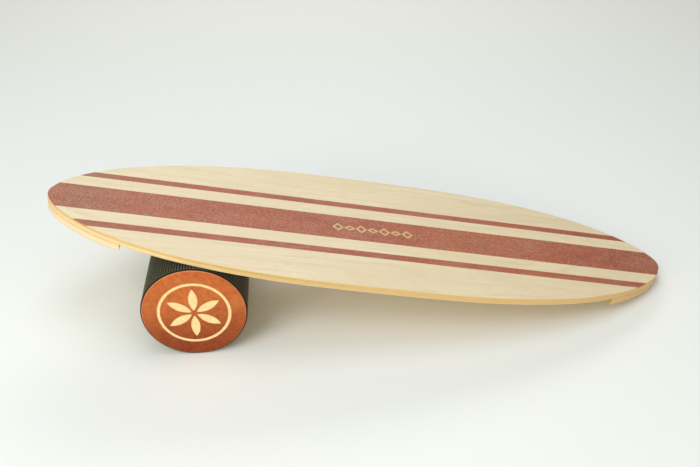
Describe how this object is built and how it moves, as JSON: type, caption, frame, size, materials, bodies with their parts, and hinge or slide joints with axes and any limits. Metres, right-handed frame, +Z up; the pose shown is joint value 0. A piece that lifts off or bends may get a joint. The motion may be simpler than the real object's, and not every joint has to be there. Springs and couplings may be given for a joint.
{
  "type": "balance board",
  "caption": "Lens-shaped plywood balance deck with a stopper under each end, resting tilted on a loose rubber-covered roller with stained wooden end discs.",
  "frame": {"origin": "middle of the footprint of the whole object, on the floor", "axes": "+X along the length of the deck towards the end that rests on the floor, +Y across the deck, +Z up"},
  "size_m": [0.7888, 0.255, 0.167],
  "materials": {
    "face_veneer": "satin lacquer over pale birch with reddish-brown stained stripes",
    "back_veneer": "satin lacquer over pale birch",
    "long_veneer": "lacquered edge of birch veneer, grain along the edge",
    "cross_veneer": "lacquered edge of birch veneer, end grain",
    "stained_disc": "orange-brown stained birch plywood, routed emblem in bare wood",
    "inner_wood": "raw plywood",
    "grip_rubber": "matt black textured rubber",
    "tube_plastic": "grey pipe",
    "screw_steel": "zinc-plated steel"
  },
  "bodies": {
    "rib_centre": {"tube_rib_centre": "inner_wood"},
    "rib_pair": {"tube_rib_near": "inner_wood", "tube_rib_far": "inner_wood"},
    "deck": {"deck_ply_1_face": "face_veneer", "deck_ply_2_cross": "cross_veneer", "deck_ply_3_long": "long_veneer", "deck_ply_4_core": "cross_veneer", "deck_ply_5_long": "long_veneer", "deck_ply_6_cross": "cross_veneer", "deck_ply_7_back": "back_veneer", "stopper_left_ply_1": "long_veneer", "stopper_left_ply_2": "cross_veneer", "stopper_left_ply_3": "long_veneer", "stopper_left_ply_4": "cross_veneer", "stopper_left_ply_5": "long_veneer", "stopper_left_ply_6": "cross_veneer", "stopper_left_ply_7": "back_veneer", "stopper_right_ply_1": "long_veneer", "stopper_right_ply_2": "cross_veneer", "stopper_right_ply_3": "long_veneer", "stopper_right_ply_4": "cross_veneer", "stopper_right_ply_5": "long_veneer", "stopper_right_ply_6": "cross_veneer", "stopper_right_ply_7": "back_veneer", "stopper_left_screws": "screw_steel", "stopper_right_screws": "screw_steel"},
    "roller": {"grip_sheath": "grip_rubber", "roller_tube": "tube_plastic", "end_disc_near": "stained_disc", "end_disc_far": "stained_disc", "end_plug_near": "inner_wood", "end_plug_far": "inner_wood"}
  },
  "joints": [
    {"name": "deck_tilt", "type": "hinge", "parent": "rib_centre", "child": "rib_pair", "pos_m": [-0.21931, 0, 0.062], "axis": [0, -1, 0], "range_deg": [0, 20.66]},
    {"name": "deck_travel", "type": "slide", "parent": "rib_pair", "child": "deck", "axis": [-0.9822, 0, 0.1877], "range_m": [-0.06083, 0.48363]},
    {"name": "roller_spin", "type": "hinge", "parent": "rib_pair", "child": "roller", "pos_m": [-0.21931, 0, 0.062], "axis": [0, -1, 0], "range_deg": [-56.5, 445.3]}
  ],
  "couplings": [
    {"joint": "roller_spin", "follows": "deck_travel", "rad_per_m": 16.051}
  ]
}
